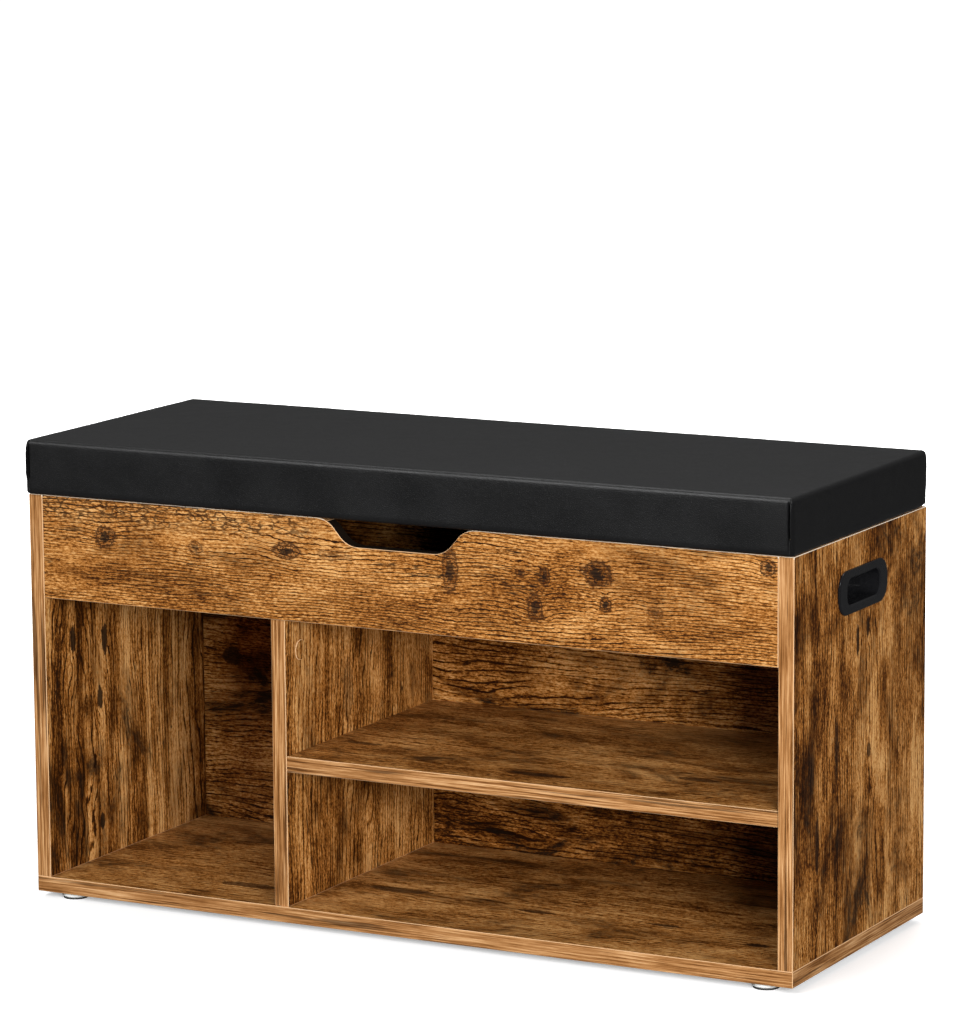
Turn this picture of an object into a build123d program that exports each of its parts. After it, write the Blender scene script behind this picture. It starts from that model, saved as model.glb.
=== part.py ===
from build123d import *
from math import radians, tan
import os

# Entryway bench: a knock-down box of laminated boards with a hinged, padded lid.
# Millimetres. Origin on the floor, in the middle of the length and the depth.
# +X to the right along the length, +Y to the back, +Z up.

os.makedirs("parts", exist_ok=True)

# ---- the box ----
body_length = 800.0
body_depth = 300.0
side_height = 375.0            # side panels, standing on the base board
board = 15.0                   # every board's thickness
foot_height = 6.0
front_panel_height = 100.0
shelf_opening = 130.0          # clear height under the shelf
divider_middle = -127.5
divider_setback = 2.0          # divider and shelf behind the box's front
back_thickness = 3.0
back_inset = 7.5               # rear edge of the box to the back panel
groove_depth = 4.0
groove_clearance = 0.2
edge_ease = 0.5                # broken corners of every board
joint_gap = 0.2                # at the front panel's two ends

# ---- the finger notch in the front panel's top edge ----
notch_bottom = 102.0           # between the feet of its slopes, before rounding
notch_depth = 25.0
notch_slope = 50.0             # degrees
notch_radius = 25.0

# ---- knock-down fittings ----
cam_radius = 7.4
cam_depth = 11.5
cam_sink = 0.5                 # cam's top below the board's face
cam_setback = 33.0             # cam's middle from the joint
cam_front = 28.0               # cams and other fittings from the boards' front edge
cam_rear = 45.0                # and from the box's rear
cam_clearance = 0.1
cap_radius = 9.75
cap_thickness = 1.0
cap_peg = 2.0
cap_peg_radius = 0.8
cam_cross = 9.0
cam_slot = 2.0
bolt_radius = 3.0
bolt_thread = 10.0
bolt_head_radius = 3.4
bolt_head = 3.0
bolt_clearance = 0.5
bolt_collar = 1.5
dowel_radius = 4.0
dowel_length = 28.0
dowel_web = 1.0                # wood left between a dowel's end and a groove
dowel_clearance = 0.05
dowel_ease = 0.8
dowel_from_cam = 36.0
screw_clearance = 0.03
screw_recess = 0.4             # cross recess, as a share of the screw's radius
base_screw_radius = 2.5
base_screw_head = 4.5
base_screw_length = 44.0
base_screw_inset = 60.0        # from the box's front and rear

# ---- foot glides ----
foot_radius = 13.3
foot_pad_height = 1.8
foot_pad_radius = 12.0
foot_end_inset = 33.0
foot_side_inset = 16.0
foot_ease = 1.0
nail_radius = 1.1
nail_head_radius = 3.5
nail_head = 1.0
nail_in_board = 10.0
nail_point = 2.2
nail_clearance = 0.03

# ---- recessed handles ----
handle_below_top = 51.0        # handle's middle below the side panel's top
flange_length = 109.0
flange_height = 41.0
flange_corner = 17.5
flange_thickness = 2.2
flange_round = 1.6
mouth_length = 74.0
mouth_height = 24.0
mouth_corner = 9.0
mouth_lip = 1.2
cup_depth = 20.0
cup_wall = 2.0
cup_clearance = 0.3
cup_draft = 3.0                # degrees
barb_length = 24.0
barb_reach = 2.0
barb_depth = 3.0

# ---- the lid ----
lid_end_overhang = 0.5
lid_gap = 3.0                  # box to lid
lid_board_thickness = 12.0
foam_thickness = 36.0
cover_thickness = 1.0
lid_corner = 8.0               # corners seen from above
lid_top_edge = 9.0
hem_width = 27.0
dust_thickness = 0.6
staple_crown = 10.0
staple_wire = 0.6
staple_leg = 8.0
staple_pitch = 70.0
staple_margin = 4.0            # inside the dust cover's edge
bumper_radius = 4.0
bumper_ease = 0.8
bumper_clearance = 0.3
bumper_inset = 50.0            # from the box's front and rear

# ---- hinges ----
hinge_end_inset = 140.0        # hinge's middle from the side panel
hinge_length = 60.0
leaf_thickness = 1.2
leaf_width = 13.0
leaf_clearance = 3.0           # leaf to dust cover
knuckle_radius = 2.2
knuckle_count = 5
knuckle_gap = 0.3
barrel_clearance = 0.3         # barrel behind the box
pin_radius = 1.25
pin_fit = 0.02                 # in the fixed knuckles
pin_running = 0.05             # in the moving knuckles
pin_head_radius = 1.8
pin_head = 0.8
hinge_screw_radius = 1.4
hinge_screw_head = 2.5
hinge_screw_length = 11.0
hinge_screw_pitch = 21.0

# ---- heights ----
base_top = foot_height + board
side_top = base_top + side_height
storage_under = side_top - front_panel_height
storage_top = storage_under + board
shelf_under = base_top + shelf_opening
shelf_top = shelf_under + board
lid_under = side_top + lid_gap
foam_under = lid_under + cover_thickness + lid_board_thickness
foam_top = foam_under + foam_thickness
lid_top = foam_top + cover_thickness
handle_height = side_top - handle_below_top
hinge_height = side_top + lid_gap / 2
groove_top = storage_under + groove_depth
dust_under = lid_under - dust_thickness

# ---- widths that follow ----
groove_width = back_thickness + groove_clearance
dowel_in_face = board - groove_depth - dowel_web     # the rest is in the other board's edge
neck_length = mouth_length + 2 * cup_wall
neck_height = mouth_height + 2 * cup_wall

# ---- places along X and Y ----
half_length = body_length / 2
half_inside = half_length - board
side_middle = half_length - board / 2
front = -body_depth / 2
rear = body_depth / 2
back_face = rear - back_inset - back_thickness      # the back panel's front face
back_middle = back_face + back_thickness / 2
inner_front = front + divider_setback
inner_rear = back_face - groove_clearance
panel_rear = front + board                          # the front panel's rear face
rail_front = rear - board
divider_left = divider_middle - board / 2
divider_right = divider_middle + board / 2
hinge_axis = rear + barrel_clearance + knuckle_radius
hinge_middle = half_inside - hinge_end_inset
lid_front = -(hinge_axis + knuckle_radius)        # stands out in front as the barrels do behind
lid_length = body_length + 2 * lid_end_overhang
lid_depth = rear - lid_front
lid_middle = (rear + lid_front) / 2
leaf_front = rear - leaf_width
leaf_middle = rear - leaf_width / 2
hinge_keep = leaf_width + leaf_clearance            # the dust cover stays this far inside the lid's edges
fitting_front = inner_front + cam_front
fitting_rear = rear - cam_rear
fitting_middle = (fitting_front + fitting_rear) / 2
dowel_front = fitting_front + dowel_from_cam
dowel_rear = fitting_rear - dowel_from_cam
screw_front = front + base_screw_inset
screw_rear = rear - base_screw_inset


def finish(piece, name):
    """Label one finished piece and write it."""
    piece.part.label = name
    export_step(piece.part, "parts/" + name + ".step")


def add_block(x_range, y_range, z_range, ease=0.0):
    """A block between two corners, with its edges eased."""
    middle = ((x_range[0] + x_range[1]) / 2, (y_range[0] + y_range[1]) / 2)
    with BuildSketch(Plane.XY.offset(z_range[0])) as outline:
        with Locations(middle):
            Rectangle(x_range[1] - x_range[0], y_range[1] - y_range[0])
    block = extrude(outline.sketch, amount=z_range[1] - z_range[0])
    if ease:
        chamfer(block.edges(), ease)


def drill(places, radius, depth):
    """Round holes along each place's Z, or against it where depth is negative."""
    with BuildSketch(*places) as holes:
        Circle(radius)
    extrude(holes.sketch, amount=depth, mode=Mode.SUBTRACT)


def cut_groove(place, along, across, depth):
    """A straight groove, centred on the place and sunk against its Z."""
    with BuildSketch(place) as groove:
        Rectangle(along, across)
    extrude(groove.sketch, amount=-depth, mode=Mode.SUBTRACT)


def turn(place, points, mode=Mode.ADD):
    """A turned shape: points are (radius, distance along the place's Z)."""
    side = Plane(origin=place.origin, x_dir=place.x_dir, z_dir=-place.y_dir)
    with BuildSketch(side) as profile:
        with BuildLine():
            Polyline(*points, close=True)
        make_face()
    revolve(profile.sketch, axis=Axis(place.origin, place.z_dir), mode=mode)


def add_screw(place, radius, head_radius, length):
    """A countersunk screw, head's face on the place, driven along the place's Z."""
    turn(place, [(0, 0), (head_radius, 0), (radius, head_radius - radius), (radius, length - radius),
                 (0, length)])
    recess = radius * screw_recess
    with BuildSketch(place) as cross:
        Rectangle(head_radius, recess)
        Rectangle(recess, head_radius)
    extrude(cross.sketch, amount=recess, mode=Mode.SUBTRACT)


def drill_for_screws(places, radius, head_radius, length):
    """The holes that add_screw's screws sit in."""
    shank = radius + screw_clearance
    head = head_radius + screw_clearance
    for place in places:
        turn(place, [(0, 0), (head, 0), (shank, head - shank), (shank, length), (0, length)], Mode.SUBTRACT)


def drill_cams(cams):
    """Cam bores in a board's face, and the bolt bores from its edge."""
    drill(cams, cam_radius + cam_clearance, -(cam_depth + cam_sink))
    drill(bolt_places(cams), bolt_radius + bolt_clearance, -cam_setback)


def bolt_places(cams):
    """At each cam's joint, with Z out of the cam's board and into its neighbour."""
    return [Plane(origin=cam.from_local_coords((cam_setback, 0, -board / 2)), x_dir=cam.z_dir,
                  z_dir=cam.x_dir) for cam in cams]


def bolt_threads(places):
    """Bolt holes in the neighbour's face."""
    drill(places, bolt_radius + screw_clearance, bolt_thread)


def dowels_in_face(places):
    """Dowel holes in the board whose face the dowels enter."""
    drill(places, dowel_radius + dowel_clearance, dowel_in_face)


def dowels_in_edge(places):
    """Dowel holes in the board whose edge the dowels enter."""
    drill(places, dowel_radius + dowel_clearance, -(dowel_length - dowel_in_face))


same_joint = board / 4            # fittings this near each other along X share a joint


def on_joint(places, x):
    """Only the places at one joint along X."""
    return [place for place in places if abs(place.origin.X - x) < same_joint]


up, down = (0, 0, 1), (0, 0, -1)
right, left = (1, 0, 0), (-1, 0, 0)
backward, forward = (0, 1, 0), (0, -1, 0)

# ---- cams: Z leaves the board's face and X points to the joint ----
end_cam = half_inside - cam_setback
panel_height = (storage_under + side_top) / 2
rail_height = (storage_top + side_top) / 2
both_ends = ((-end_cam, left), (end_cam, right))
shelf_ends = ((divider_right + cam_setback, left), (end_cam, right))
fitting_rows = (fitting_front, fitting_rear)

divider_cams = [Plane(origin=(divider_right, y, storage_under - cam_setback), x_dir=up, z_dir=right)
                for y in fitting_rows]
storage_cams = [Plane(origin=(x, y, storage_under), x_dir=way, z_dir=down)
                for x, way in both_ends for y in fitting_rows]
panel_cams = [Plane(origin=(x, panel_rear, panel_height), x_dir=way, z_dir=backward)
              for x, way in both_ends]
rail_cams = [Plane(origin=(x, rail_front, rail_height), x_dir=way, z_dir=forward) for x, way in both_ends]
shelf_cams = [Plane(origin=(x, y, shelf_under), x_dir=way, z_dir=down)
              for x, way in shelf_ends for y in fitting_rows]
all_cams = divider_cams + storage_cams + panel_cams + rail_cams + shelf_cams
side_bolts = bolt_places(storage_cams + panel_cams + rail_cams + shelf_cams)

# ---- dowels: Z points into the board whose face they enter ----
joint_faces = ((-half_inside, left), (half_inside, right))
storage_dowels = [Plane(origin=(x, y, storage_under + board / 2), x_dir=backward, z_dir=way)
                  for x, way in joint_faces for y in (dowel_front, dowel_rear)]
panel_end_dowels = [Plane(origin=(x, front + board / 2, z), x_dir=backward, z_dir=way)
                    for x, way in joint_faces
                    for z in (panel_height - front_panel_height / 4, panel_height + front_panel_height / 4)]
shelf_dowels = [Plane(origin=(x, fitting_middle, shelf_under + board / 2), x_dir=backward, z_dir=way)
                for x, way in ((divider_right, left), (half_inside, right))]
divider_dowels = [Plane(origin=(divider_middle, fitting_middle, storage_under), x_dir=right, z_dir=up)]
uprights = (-side_middle, divider_middle, side_middle)
base_dowels = [Plane(origin=(x, y, base_top), x_dir=right, z_dir=down)
               for x in uprights for y in (screw_front + dowel_from_cam, screw_rear - dowel_from_cam)]
long_joint = (-hinge_middle, 0, hinge_middle)
rail_dowels = [Plane(origin=(x, rear - board / 2, storage_top), x_dir=right, z_dir=down)
               for x in long_joint]
panel_dowels = [Plane(origin=(x, panel_rear, storage_under + board / 2), x_dir=right, z_dir=forward)
                for x in long_joint]
all_dowels = (storage_dowels + panel_end_dowels + shelf_dowels + divider_dowels + base_dowels
              + rail_dowels + panel_dowels)

# ---- screws: Z is the way they are driven ----
base_screw_places = [Plane(origin=(x, y, foot_height), x_dir=right, z_dir=up)
                     for x in uprights for y in (screw_front, screw_rear)]
base_screw_size = (base_screw_radius, base_screw_head, base_screw_length)
screw_columns = [x + step * hinge_screw_pitch for x in (-hinge_middle, hinge_middle) for step in (-1, 0, 1)]
rail_screw_places = [Plane(origin=(x, leaf_middle, side_top + leaf_thickness), x_dir=right, z_dir=down)
                     for x in screw_columns]
lid_screw_places = [Plane(origin=(x, leaf_middle, lid_under - leaf_thickness), x_dir=right, z_dir=up)
                    for x in screw_columns]
hinge_screw_size = (hinge_screw_radius, hinge_screw_head, hinge_screw_length)

foot_places = [Plane(origin=(x, y, foot_height), x_dir=right, z_dir=down)
               for x in (-half_length + foot_end_inset, half_length - foot_end_inset)
               for y in (front + foot_side_inset, rear - foot_side_inset)]

# ---- boards ----
with BuildPart() as base_board:
    add_block((-half_length, half_length), (front, rear), (foot_height, base_top), edge_ease)
    cut_groove(Plane((0, back_middle, base_top)), 2 * (half_inside + groove_depth), groove_width,
               groove_depth)
    dowels_in_face(base_dowels)
    drill_for_screws(base_screw_places, *base_screw_size)
    drill(foot_places, nail_radius + nail_clearance, -nail_in_board)
finish(base_board, "base_board")

for name, way in (("left", -1), ("right", 1)):
    outer_face = way * half_length
    inner_face = way * half_inside
    outward = Plane(origin=(outer_face, 0, handle_height), x_dir=(0, way, 0), z_dir=(way, 0, 0))
    inward = Plane(origin=outward.origin, x_dir=outward.x_dir, z_dir=(-way, 0, 0))
    groove_place = Plane(origin=(inner_face, back_middle, (base_top + groove_top) / 2), x_dir=up,
                         z_dir=(-way, 0, 0))

    with BuildPart() as side_panel:
        add_block(sorted((outer_face, inner_face)), (front, rear), (base_top, side_top), edge_ease)
        with BuildSketch(inward):
            RectangleRounded(neck_length + 2 * cup_clearance, neck_height + 2 * cup_clearance,
                             mouth_corner + cup_wall + cup_clearance)
        extrude(amount=board, mode=Mode.SUBTRACT)
        cut_groove(groove_place, groove_top - base_top, groove_width, groove_depth)
        bolt_threads(on_joint(side_bolts, inner_face))
        dowels_in_face(on_joint(storage_dowels + panel_end_dowels + shelf_dowels, inner_face))
        dowels_in_edge(on_joint(base_dowels, way * side_middle))
        drill_for_screws(on_joint(base_screw_places, way * side_middle), *base_screw_size)
    finish(side_panel, name + "_side_panel")

    with BuildPart() as handle_cup:
        with BuildSketch(outward):
            RectangleRounded(flange_length, flange_height, flange_corner)
        extrude(amount=flange_thickness)
        fillet(handle_cup.faces().sort_by(Axis(outward.origin, outward.z_dir))[-1].edges(), flange_round)
        with BuildSketch(inward):
            RectangleRounded(neck_length, neck_height, mouth_corner + cup_wall)
        extrude(amount=cup_depth)
        with BuildSketch(inward.offset(-flange_thickness)):
            RectangleRounded(mouth_length, mouth_height, mouth_corner)
        extrude(amount=flange_thickness + cup_depth - cup_wall, taper=cup_draft, mode=Mode.SUBTRACT)
        outer_face = handle_cup.faces().sort_by(Axis(outward.origin, outward.z_dir))[-1]
        chamfer(outer_face.inner_wires()[0].edges(), mouth_lip)
        with BuildSketch(inward.offset(board + cup_clearance)):
            Rectangle(barb_length, neck_height + 2 * barb_reach)
            Rectangle(barb_length, neck_height - cup_wall, mode=Mode.SUBTRACT)
        extrude(amount=barb_depth)
    finish(handle_cup, name + "_handle_cup")

with BuildPart() as divider:
    add_block((divider_left, divider_right), (inner_front, inner_rear), (base_top, storage_under), edge_ease)
    drill_cams(divider_cams)
    bolt_threads(on_joint(side_bolts, divider_right))
    dowels_in_face(on_joint(shelf_dowels, divider_right))
    dowels_in_edge(divider_dowels)
    dowels_in_edge(on_joint(base_dowels, divider_middle))
    drill_for_screws(on_joint(base_screw_places, divider_middle), *base_screw_size)
finish(divider, "divider")

with BuildPart() as shelf:
    add_block((divider_right, half_inside), (inner_front, inner_rear), (shelf_under, shelf_top), edge_ease)
    drill_cams(shelf_cams)
    dowels_in_edge(shelf_dowels)
finish(shelf, "shelf")

with BuildPart() as storage_floor:
    add_block((-half_inside, half_inside), (panel_rear, rear), (storage_under, storage_top), edge_ease)
    cut_groove(Plane(origin=(0, back_middle, storage_under), x_dir=right, z_dir=down), body_length,
               groove_width, groove_depth)
    drill_cams(storage_cams)
    bolt_threads(bolt_places(divider_cams))
    dowels_in_face(divider_dowels)
    dowels_in_face(rail_dowels)
    dowels_in_edge(panel_dowels)
    dowels_in_edge(storage_dowels)
finish(storage_floor, "storage_floor")

with BuildPart() as front_panel:
    panel_half = half_inside - joint_gap
    notch_floor = side_top - notch_depth
    notch_top = notch_bottom / 2 + notch_depth / tan(radians(notch_slope))
    with BuildSketch(Plane.XZ.offset(-front)):
        with BuildLine():
            Polyline((-panel_half, storage_under), (panel_half, storage_under), (panel_half, side_top),
                     (notch_top, side_top), (notch_bottom / 2, notch_floor), (-notch_bottom / 2, notch_floor),
                     (-notch_top, side_top), (-panel_half, side_top), close=True)
        make_face()
    extrude(amount=-board)
    across = front_panel.edges().filter_by(Axis.Y)
    fillet(across.filter_by(lambda edge: abs(edge.center().X) < (notch_top + panel_half) / 2), notch_radius)
    for side in (front_panel.faces().sort_by(Axis.Y)[0], front_panel.faces().sort_by(Axis.Y)[-1]):
        chamfer(side.edges(), edge_ease)
    drill_cams(panel_cams)
    dowels_in_face(panel_dowels)
    dowels_in_edge(panel_end_dowels)
finish(front_panel, "front_panel")

with BuildPart() as rear_rail:
    add_block((-half_inside, half_inside), (rail_front, rear), (storage_top, side_top), edge_ease)
    drill_cams(rail_cams)
    dowels_in_edge(rail_dowels)
    drill_for_screws(rail_screw_places, *hinge_screw_size)
finish(rear_rail, "rear_rail")

with BuildPart() as back_panel:
    half_back = half_inside + groove_depth - groove_clearance
    add_block((-half_back, half_back), (back_face, back_face + back_thickness),
              (base_top - groove_depth + groove_clearance, groove_top - groove_clearance))
finish(back_panel, "back_panel")

# ---- knock-down fittings and screws ----
with BuildPart() as cam_locks:
    with BuildSketch(*[cam.offset(-cam_sink) for cam in all_cams]):
        Circle(cam_radius)
    extrude(amount=-cam_depth)
    with BuildSketch(*[cam.offset(-cam_sink) for cam in all_cams]):
        Rectangle(cam_cross, cam_slot)
        Rectangle(cam_slot, cam_cross)
    extrude(amount=-cam_slot, mode=Mode.SUBTRACT)
    drill([place.offset(-cam_setback - bolt_head) for place in bolt_places(all_cams)],
          bolt_head_radius + bolt_clearance, cam_radius + 2 * bolt_head)
finish(cam_locks, "cam_locks")

with BuildPart() as cam_bolts:
    shank = bolt_radius * 0.8
    head_end = -(cam_setback + bolt_head / 2)
    for place in bolt_places(all_cams):
        turn(place, [(0, head_end), (bolt_head_radius, head_end), (bolt_head_radius, head_end + bolt_head),
                     (shank, head_end + bolt_head), (shank, -bolt_collar), (bolt_head_radius, -bolt_collar),
                     (bolt_head_radius, 0), (bolt_radius, 0), (bolt_radius, bolt_thread - bolt_collar),
                     (shank, bolt_thread), (0, bolt_thread)])
finish(cam_bolts, "cam_bolts")

with BuildPart() as cam_caps:
    for cam in all_cams:
        turn(cam, [(0, -cap_peg), (cap_peg_radius, -cap_peg), (cap_peg_radius, 0), (cap_radius, 0),
                   (cap_radius, cap_thickness / 2), (cap_radius - cap_thickness / 2, cap_thickness),
                   (0, cap_thickness)])
finish(cam_caps, "cam_caps")

with BuildPart() as dowels:
    back_end = dowel_in_face - dowel_length
    for place in all_dowels:
        turn(place, [(0, back_end), (dowel_radius - dowel_ease, back_end),
                     (dowel_radius, back_end + dowel_ease), (dowel_radius, dowel_in_face - dowel_ease),
                     (dowel_radius - dowel_ease, dowel_in_face), (0, dowel_in_face)])
finish(dowels, "dowels")

with BuildPart() as base_screws:
    for place in base_screw_places:
        add_screw(place, *base_screw_size)
finish(base_screws, "base_screws")

# ---- foot glides ----
foot_body = foot_height - foot_pad_height
nail_under = foot_body - nail_head
with BuildPart() as foot_bodies:
    hole = nail_radius + nail_clearance
    head_hole = nail_head_radius + nail_clearance
    for place in foot_places:
        turn(place, [(hole, 0), (foot_radius, 0), (foot_radius, foot_body - foot_ease),
                     (foot_radius - foot_ease, foot_body), (head_hole, foot_body), (head_hole, nail_under),
                     (hole, nail_under)])
finish(foot_bodies, "foot_bodies")

with BuildPart() as foot_nails:
    for place in foot_places:
        turn(place, [(0, foot_body), (nail_head_radius, foot_body), (nail_head_radius, nail_under),
                     (nail_radius, nail_under), (nail_radius, nail_point - nail_in_board),
                     (0, -nail_in_board)])
finish(foot_nails, "foot_nails")

with BuildPart() as foot_pads:
    with BuildSketch(*[place.offset(foot_body) for place in foot_places]):
        Circle(foot_pad_radius)
    extrude(amount=foot_pad_height)
finish(foot_pads, "foot_pads")

# ---- lid ----
def lid_slab(z_range, inset):
    """A slab of the lid's outline, seen from above."""
    with BuildSketch(Plane.XY.offset(z_range[0])) as outline:
        with Locations((0, lid_middle)):
            RectangleRounded(lid_length - 2 * inset, lid_depth - 2 * inset, lid_corner - inset)
    extrude(outline.sketch, amount=z_range[1] - z_range[0])


half_lid = lid_length / 2
staple_line = hinge_keep + staple_margin
staple_x = half_lid - staple_line
staple_y = lid_depth / 2 - staple_line
along_length = max(2, round(2 * staple_x / staple_pitch))
along_depth = max(2, round(2 * staple_y / staple_pitch))
staple_rows_x = [staple_x * ((2 * i + 1) / along_length - 1) for i in range(along_length)]
staple_rows_y = [lid_middle + staple_y * ((2 * i + 1) / along_depth - 1) for i in range(along_depth)]
staple_places = [Plane(origin=(x, y, dust_under), x_dir=right, z_dir=up)
                 for x in staple_rows_x for y in (lid_middle - staple_y, lid_middle + staple_y)]
staple_places += [Plane(origin=(x, y, dust_under), x_dir=backward, z_dir=up)
                  for y in staple_rows_y for x in (-staple_x, staple_x)]

with BuildPart() as staples:
    with BuildSketch(*[place.offset(-staple_wire) for place in staple_places]):
        Rectangle(staple_crown, 2 * staple_wire)
    extrude(amount=staple_wire)
    with BuildSketch(*staple_places):
        with Locations((-staple_crown / 2 + staple_wire / 2, 0), (staple_crown / 2 - staple_wire / 2, 0)):
            Rectangle(staple_wire, 2 * staple_wire)
    extrude(amount=staple_leg)
finish(staples, "staples")

with BuildPart() as lid_board:
    lid_slab((lid_under + cover_thickness, foam_under), cover_thickness)
    drill_for_screws(lid_screw_places, *hinge_screw_size)
    add(staples.part, mode=Mode.SUBTRACT)
finish(lid_board, "lid_board")

with BuildPart() as lid_foam:
    lid_slab((foam_under, foam_top), cover_thickness)
    fillet(lid_foam.faces().sort_by(Axis.Z)[-1].edges(), lid_top_edge - cover_thickness)
finish(lid_foam, "lid_foam")

with BuildPart() as lid_cover:
    lid_slab((lid_under, lid_top), 0)
    fillet(lid_cover.faces().sort_by(Axis.Z)[-1].edges(), lid_top_edge)
    fillet(lid_cover.faces().sort_by(Axis.Z)[0].edges(), cover_thickness)
    add(lid_foam.part, mode=Mode.SUBTRACT)
    with BuildSketch(Plane.XY.offset(lid_under)):
        with Locations((0, lid_middle)):
            Rectangle(lid_length - 2 * hem_width, lid_depth - 2 * hem_width)
    extrude(amount=cover_thickness, mode=Mode.SUBTRACT)
    with BuildSketch(Plane.XY.offset(lid_under + cover_thickness)):
        with Locations((0, lid_middle)):
            RectangleRounded(lid_length - 2 * cover_thickness, lid_depth - 2 * cover_thickness,
                             lid_corner - cover_thickness)
    extrude(amount=lid_board_thickness, mode=Mode.SUBTRACT)
    drill_for_screws(lid_screw_places, *hinge_screw_size)
    add(staples.part, mode=Mode.SUBTRACT)
finish(lid_cover, "lid_cover")

with BuildPart() as lid_dust_cover:
    with BuildSketch(Plane.XY.offset(dust_under)):
        with Locations((0, lid_middle)):
            Rectangle(lid_length - 2 * hinge_keep, lid_depth - 2 * hinge_keep)
    extrude(amount=dust_thickness)
    add(staples.part, mode=Mode.SUBTRACT)
finish(lid_dust_cover, "lid_dust_cover")

with BuildPart() as lid_bumpers:
    bumper_height = lid_gap - bumper_clearance
    for x in (-side_middle, side_middle):
        for y in (front + bumper_inset, rear - bumper_inset):
            turn(Plane((x, y, side_top)),
                 [(0, 0), (bumper_radius, 0), (bumper_radius, bumper_height - bumper_ease),
                  (bumper_radius - bumper_ease, bumper_height), (0, bumper_height)])
finish(lid_bumpers, "lid_bumpers")

# ---- hinges ----
knuckle_length = (hinge_length - (knuckle_count - 1) * knuckle_gap) / knuckle_count


def add_leaf(hinge_x, leaf_z, knuckles, bore, screws):
    """One leaf with its knuckles, bored for the pin and for its screws."""
    add_block((hinge_x - hinge_length / 2, hinge_x + hinge_length / 2), (leaf_front, rear),
              (leaf_z, leaf_z + leaf_thickness))
    starts = [Plane.YZ.offset(hinge_x - hinge_length / 2 + i * (knuckle_length + knuckle_gap))
              for i in knuckles]
    with BuildSketch(*starts) as knuckle:
        with Locations((hinge_axis, hinge_height)):
            Circle(knuckle_radius)
        with Locations((rear - leaf_thickness, leaf_z)):
            Rectangle(hinge_axis - rear + leaf_thickness, leaf_thickness, align=Align.MIN)
    extrude(knuckle.sketch, amount=knuckle_length)
    with BuildSketch(Plane.YZ.offset(hinge_x - hinge_length / 2)) as pin_hole:
        with Locations((hinge_axis, hinge_height)):
            Circle(bore)
    extrude(pin_hole.sketch, amount=hinge_length, mode=Mode.SUBTRACT)
    drill_for_screws(on_hinge(screws, hinge_x), *hinge_screw_size)


def on_hinge(places, hinge_x):
    """Only the screw places of one hinge."""
    return [place for place in places if abs(place.origin.X - hinge_x) < hinge_length / 2]


for name, hinge_x in (("left", -hinge_middle), ("right", hinge_middle)):
    with BuildPart() as fixed_leaf:
        add_leaf(hinge_x, side_top, range(0, knuckle_count, 2), pin_radius + pin_fit, rail_screw_places)
    finish(fixed_leaf, name + "_hinge_fixed_leaf")

    with BuildPart() as moving_leaf:
        add_leaf(hinge_x, lid_under - leaf_thickness, range(1, knuckle_count, 2), pin_radius + pin_running,
                 lid_screw_places)
    finish(moving_leaf, name + "_hinge_moving_leaf")

    with BuildPart() as hinge_pin:
        pin_start = Plane(origin=(hinge_x - hinge_length / 2, hinge_axis, hinge_height), x_dir=backward,
                          z_dir=right)
        turn(pin_start, [(0, -pin_head), (pin_head_radius, -pin_head), (pin_head_radius, 0), (pin_radius, 0),
                         (pin_radius, hinge_length), (pin_head_radius, hinge_length),
                         (pin_head_radius, hinge_length + pin_head), (0, hinge_length + pin_head)])
    finish(hinge_pin, name + "_hinge_pin")

with BuildPart() as rail_hinge_screws:
    for place in rail_screw_places:
        add_screw(place, *hinge_screw_size)
finish(rail_hinge_screws, "rail_hinge_screws")

with BuildPart() as lid_hinge_screws:
    for place in lid_screw_places:
        add_screw(place, *hinge_screw_size)
finish(lid_hinge_screws, "lid_hinge_screws")
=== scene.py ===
import bpy
import bmesh
import math
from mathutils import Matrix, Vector, noise


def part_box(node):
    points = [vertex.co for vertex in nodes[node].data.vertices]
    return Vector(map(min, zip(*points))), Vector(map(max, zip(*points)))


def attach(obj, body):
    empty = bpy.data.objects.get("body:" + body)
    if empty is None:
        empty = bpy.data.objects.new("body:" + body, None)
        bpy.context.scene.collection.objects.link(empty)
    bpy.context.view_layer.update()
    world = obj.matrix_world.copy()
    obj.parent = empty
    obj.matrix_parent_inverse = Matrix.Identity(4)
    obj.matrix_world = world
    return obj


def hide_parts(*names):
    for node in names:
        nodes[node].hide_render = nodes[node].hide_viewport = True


# Entryway bench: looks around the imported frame. Metres, Z up, front faces -Y.
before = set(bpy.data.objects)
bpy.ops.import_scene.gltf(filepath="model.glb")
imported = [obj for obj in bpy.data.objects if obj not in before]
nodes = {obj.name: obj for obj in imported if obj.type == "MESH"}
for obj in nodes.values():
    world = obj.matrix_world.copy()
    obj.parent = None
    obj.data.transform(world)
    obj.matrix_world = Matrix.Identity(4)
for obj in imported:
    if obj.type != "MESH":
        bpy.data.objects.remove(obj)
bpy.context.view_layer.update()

camera = {"place": (2.0484, -3.8221, 1.1197), "turn": (80.373, 0.439, 28.047), "lens": 163.82}

lights = {  # glossy False: the lamp isn't seen as a reflection
    "keyLight": {"place": (-1.0, -3.3, 2.4), "target": (0.0, 0.0, 0.25), "size": (2.4, 1.5), "power": 98},
    "fillLight": {"place": (2.9, -3.2, 1.1), "target": (0.0, 0.0, 0.20), "size": (1.4, 1.0), "power": 230,
                  "glossy": False},
    "glintLight": {"place": (3.0, -2.4, 2.6), "target": (0.3, 0.0, 0.3), "size": (0.7, 0.7), "power": 22},
    "topLight": {"place": (-0.3, 0.6, 2.9), "target": (0.0, 0.0, 0.4), "size": (2.4, 1.2), "power": 30},
    "backLight": {"place": (-0.9, 3.8, 1.9), "target": (0.0, 0.0, 0.2), "size": (3.0, 1.5), "power": 170,
                  "glossy": False},
}


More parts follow.
